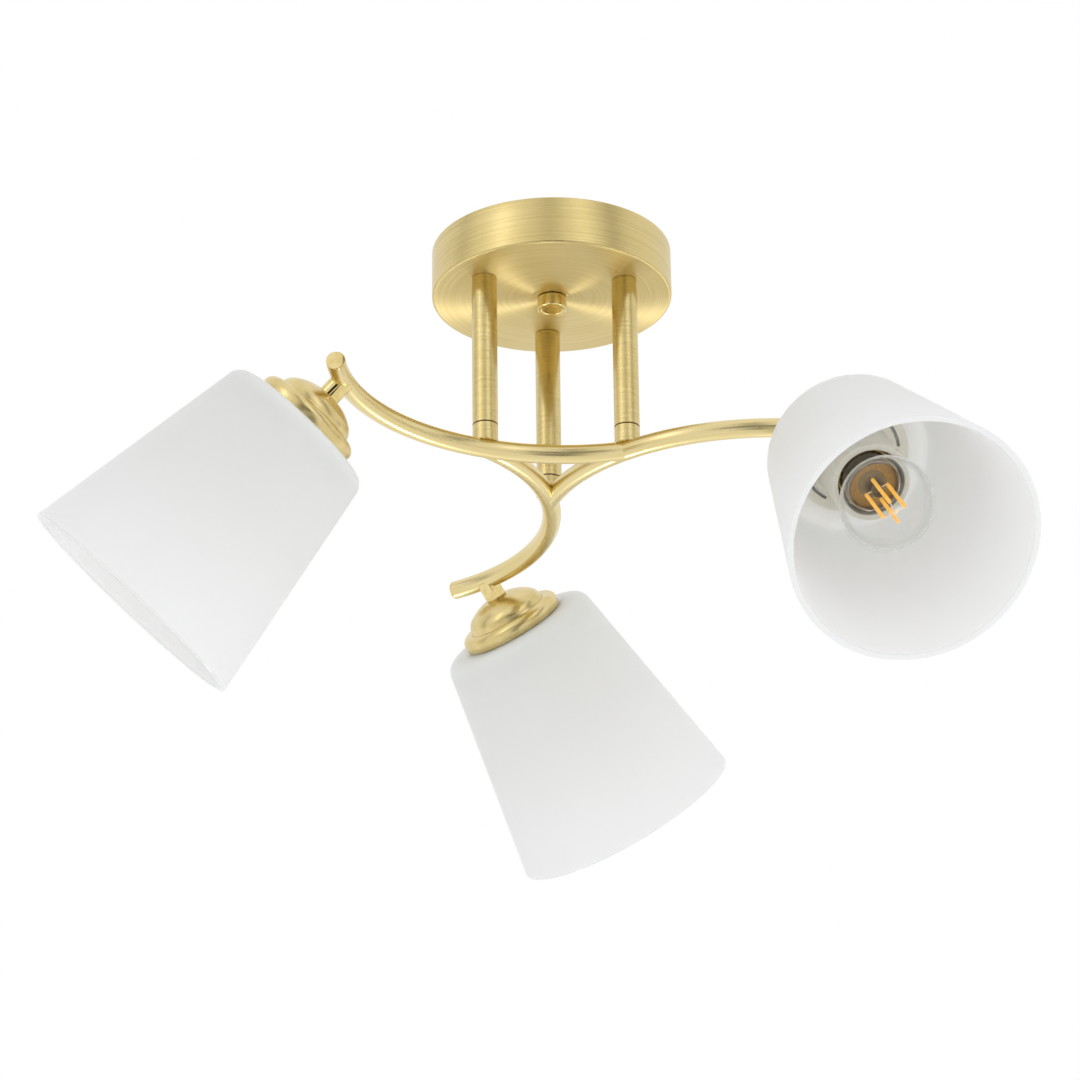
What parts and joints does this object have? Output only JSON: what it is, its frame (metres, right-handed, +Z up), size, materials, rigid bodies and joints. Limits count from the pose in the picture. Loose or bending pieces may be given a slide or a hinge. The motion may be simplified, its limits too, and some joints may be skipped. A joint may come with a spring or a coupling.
{
  "type": "semi flush ceiling light",
  "caption": "Semi flush ceiling light: a round brass canopy on posts, a pinwheel of curved arms, and tilted tapered opal glass shades over screw-in bulbs.",
  "frame": {"origin": "centre of the canopy's ceiling face, on the light's upright axis", "axes": "+Z up into the ceiling; +Y towards the rear post; X along the ceiling strap"},
  "size_m": [0.4633, 0.4494, 0.2643],
  "materials": {
    "satin_brass": "fine brushed satin, lacquered",
    "polished_brass": "polished, lacquered",
    "zinc_steel": "bright zinc plate",
    "contact_brass": "bare bright brass",
    "cap_metal": "bright pressed nickel",
    "holder_plastic": "ivory moulded",
    "ring_plastic": "ivory moulded",
    "block_plastic": "white moulded",
    "opal_glass": "acid etched opal",
    "clear_glass": "clear",
    "filament_coat": "amber phosphor"
  },
  "bodies": {
    "fitting": {"ceiling_bracket": "zinc_steel", "centre_stud": "zinc_steel", "canopy": "satin_brass", "terminal_block": "block_plastic", "terminal_screws": "contact_brass", "stud_lock_nut": "zinc_steel", "earth_screw": "contact_brass", "block_screw": "zinc_steel", "post_nuts": "zinc_steel", "post_nipples": "zinc_steel", "head_nipples": "zinc_steel", "head_nuts": "zinc_steel", "contact_tongues": "contact_brass", "post_right": "satin_brass", "post_ferrule_right": "satin_brass", "arm_right": "satin_brass", "arm_end_cap_right": "polished_brass", "head_stub_right": "polished_brass", "shade_cup_right": "satin_brass", "lampholder_right": "holder_plastic", "screw_shell_right": "contact_brass", "glass_shade_right": "opal_glass", "post_rear": "satin_brass", "post_ferrule_rear": "satin_brass", "arm_rear": "satin_brass", "arm_end_cap_rear": "polished_brass", "head_stub_rear": "polished_brass", "shade_cup_rear": "satin_brass", "lampholder_rear": "holder_plastic", "screw_shell_rear": "contact_brass", "glass_shade_rear": "opal_glass", "post_left": "satin_brass", "post_ferrule_left": "satin_brass", "arm_left": "satin_brass", "arm_end_cap_left": "polished_brass", "head_stub_left": "polished_brass", "shade_cup_left": "satin_brass", "lampholder_left": "holder_plastic", "screw_shell_left": "contact_brass", "glass_shade_left": "opal_glass"},
    "cap_nut": {"cap_nut": "polished_brass"},
    "ring_right": {"shade_ring_right": "ring_plastic"},
    "button_right": {"bulb_button_right": "cap_metal"},
    "bulb_right": {"bulb_globe_right": "clear_glass", "bulb_cap_right": "cap_metal", "bulb_stem_right": "clear_glass", "bulb_filament_right": "filament_coat"},
    "ring_rear": {"shade_ring_rear": "ring_plastic"},
    "button_rear": {"bulb_button_rear": "cap_metal"},
    "bulb_rear": {"bulb_globe_rear": "clear_glass", "bulb_cap_rear": "cap_metal", "bulb_stem_rear": "clear_glass", "bulb_filament_rear": "filament_coat"},
    "ring_left": {"shade_ring_left": "ring_plastic"},
    "button_left": {"bulb_button_left": "cap_metal"},
    "bulb_left": {"bulb_globe_left": "clear_glass", "bulb_cap_left": "cap_metal", "bulb_stem_left": "clear_glass", "bulb_filament_left": "filament_coat"}
  },
  "joints": [
    {"name": "cap_nut_turn", "type": "hinge", "parent": "fitting", "child": "cap_nut", "pos_m": [0, 0, -0.028], "axis": [0, 0, 1], "continuous": true},
    {"name": "shade_ring_right_turn", "type": "hinge", "parent": "fitting", "child": "ring_right", "pos_m": [0.14211, -0.08617, -0.16093], "axis": [0.1591, -0.689, -0.7071], "continuous": true},
    {"name": "bulb_right_travel", "type": "slide", "parent": "fitting", "child": "button_right", "axis": [0.1591, -0.689, -0.7071], "range_m": [0, 0.02551]},
    {"name": "bulb_right_turn", "type": "hinge", "parent": "button_right", "child": "bulb_right", "pos_m": [0.14211, -0.08617, -0.16093], "axis": [0.1591, -0.689, -0.7071], "range_deg": [0, 2520]},
    {"name": "shade_ring_rear_turn", "type": "hinge", "parent": "fitting", "child": "ring_rear", "pos_m": [0.00357, 0.16616, -0.16093], "axis": [0.5171, 0.4822, -0.7071], "continuous": true},
    {"name": "bulb_rear_travel", "type": "slide", "parent": "fitting", "child": "button_rear", "axis": [0.5171, 0.4822, -0.7071], "range_m": [0, 0.02551]},
    {"name": "bulb_rear_turn", "type": "hinge", "parent": "button_rear", "child": "bulb_rear", "pos_m": [0.00357, 0.16616, -0.16093], "axis": [0.5171, 0.4822, -0.7071], "range_deg": [0, 2520]},
    {"name": "shade_ring_left_turn", "type": "hinge", "parent": "fitting", "child": "ring_left", "pos_m": [-0.14569, -0.07999, -0.16093], "axis": [-0.6762, 0.2067, -0.7071], "continuous": true},
    {"name": "bulb_left_travel", "type": "slide", "parent": "fitting", "child": "button_left", "axis": [-0.6762, 0.2067, -0.7071], "range_m": [0, 0.02551]},
    {"name": "bulb_left_turn", "type": "hinge", "parent": "button_left", "child": "bulb_left", "pos_m": [-0.14569, -0.07999, -0.16093], "axis": [-0.6762, 0.2067, -0.7071], "range_deg": [0, 2520]}
  ],
  "couplings": [
    {"joint": "bulb_right_travel", "follows": "bulb_right_turn", "m_per_rad": 0.00057773},
    {"joint": "bulb_rear_travel", "follows": "bulb_rear_turn", "m_per_rad": 0.00057773},
    {"joint": "bulb_left_travel", "follows": "bulb_left_turn", "m_per_rad": 0.00057773}
  ]
}
